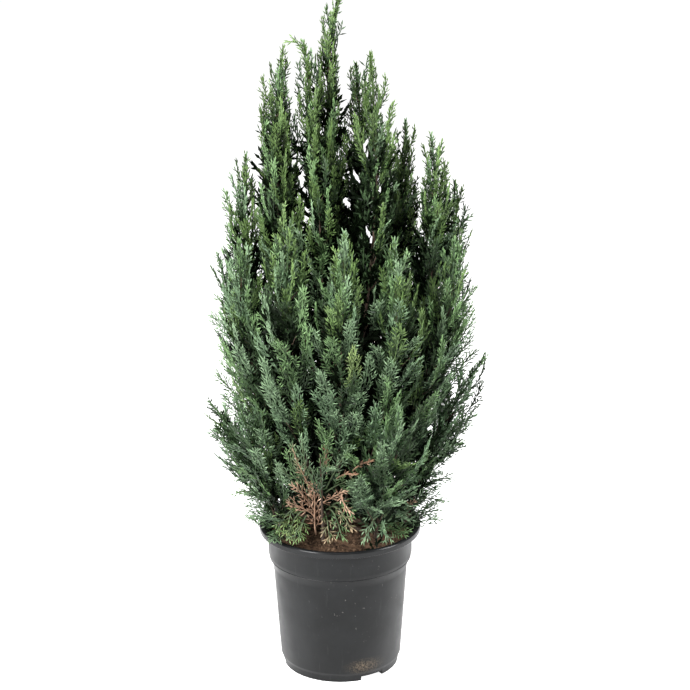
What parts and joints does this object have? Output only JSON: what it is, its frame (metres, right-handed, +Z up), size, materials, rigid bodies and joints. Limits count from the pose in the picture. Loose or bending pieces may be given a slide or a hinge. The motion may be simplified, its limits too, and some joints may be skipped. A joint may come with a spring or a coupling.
{
  "type": "potted lawson cypress",
  "caption": "Young columnar garden conifer in its nursery pot: a narrow blue-green crown of upright feathery plumes on a low-branched trunk, with a brown patch at the front foot.",
  "frame": {"origin": "centre of the pot's underside, on the pot's axis, where it stands on the ground", "axes": "+Z up along the pot's axis; -Y is the front, the side with the brown patch; +X is to the right seen from the front"},
  "size_m": [0.3859, 0.3586, 0.954],
  "materials": {
    "pot_plastic": "satin black moulded plastic, lightly scuffed and dusty",
    "potting_soil": "moist crumbly peat compost",
    "bark": "thin fibrous reddish-brown bark",
    "foliage_green": "matt blue-green scale leaves with a faint bloom",
    "foliage_dead": "dry pinkish-tan scale leaves and bare twigs"
  },
  "bodies": {
    "root": {"bough_bent_spire": "bark", "bough_front": "bark", "bough_front_left": "bark", "bough_front_right": "bark", "bough_left_front": "bark", "bough_left_low": "bark", "bough_left_outer": "bark", "bough_left_spire": "bark", "bough_rear": "bark", "bough_rear_left": "bark", "bough_rear_left_spire": "bark", "bough_rear_right": "bark", "bough_rear_right_spire": "bark", "bough_rear_spire": "bark", "bough_right_front": "bark", "bough_right_high": "bark", "bough_right_outer": "bark", "bough_right_shoulder": "bark", "bough_right_spire": "bark", "bough_skirt_dead": "bark", "bough_skirt_front_left": "bark", "bough_skirt_front_right": "bark", "bough_skirt_left": "bark", "bough_skirt_rear": "bark", "bough_skirt_rear_left": "bark", "bough_skirt_rear_right": "bark", "bough_skirt_right": "bark", "foliage_bent_spire": "foliage_green", "foliage_front": "foliage_green", "foliage_front_left": "foliage_green", "foliage_front_right": "foliage_green", "foliage_leader": "foliage_green", "foliage_left_front": "foliage_green", "foliage_left_low": "foliage_green", "foliage_left_outer": "foliage_green", "foliage_left_spire": "foliage_green", "foliage_rear": "foliage_green", "foliage_rear_left": "foliage_green", "foliage_rear_left_spire": "foliage_green", "foliage_rear_right": "foliage_green", "foliage_rear_right_spire": "foliage_green", "foliage_rear_spire": "foliage_green", "foliage_right_front": "foliage_green", "foliage_right_high": "foliage_green", "foliage_right_outer": "foliage_green", "foliage_right_shoulder": "foliage_green", "foliage_right_spire": "foliage_green", "foliage_skirt_dead": "foliage_dead", "foliage_skirt_front_left": "foliage_green", "foliage_skirt_front_right": "foliage_green", "foliage_skirt_left": "foliage_green", "foliage_skirt_rear": "foliage_green", "foliage_skirt_rear_left": "foliage_green", "foliage_skirt_rear_right": "foliage_green", "foliage_skirt_right": "foliage_green", "pot": "pot_plastic", "soil": "potting_soil", "trunk": "bark"}
  },
  "joints": []
}
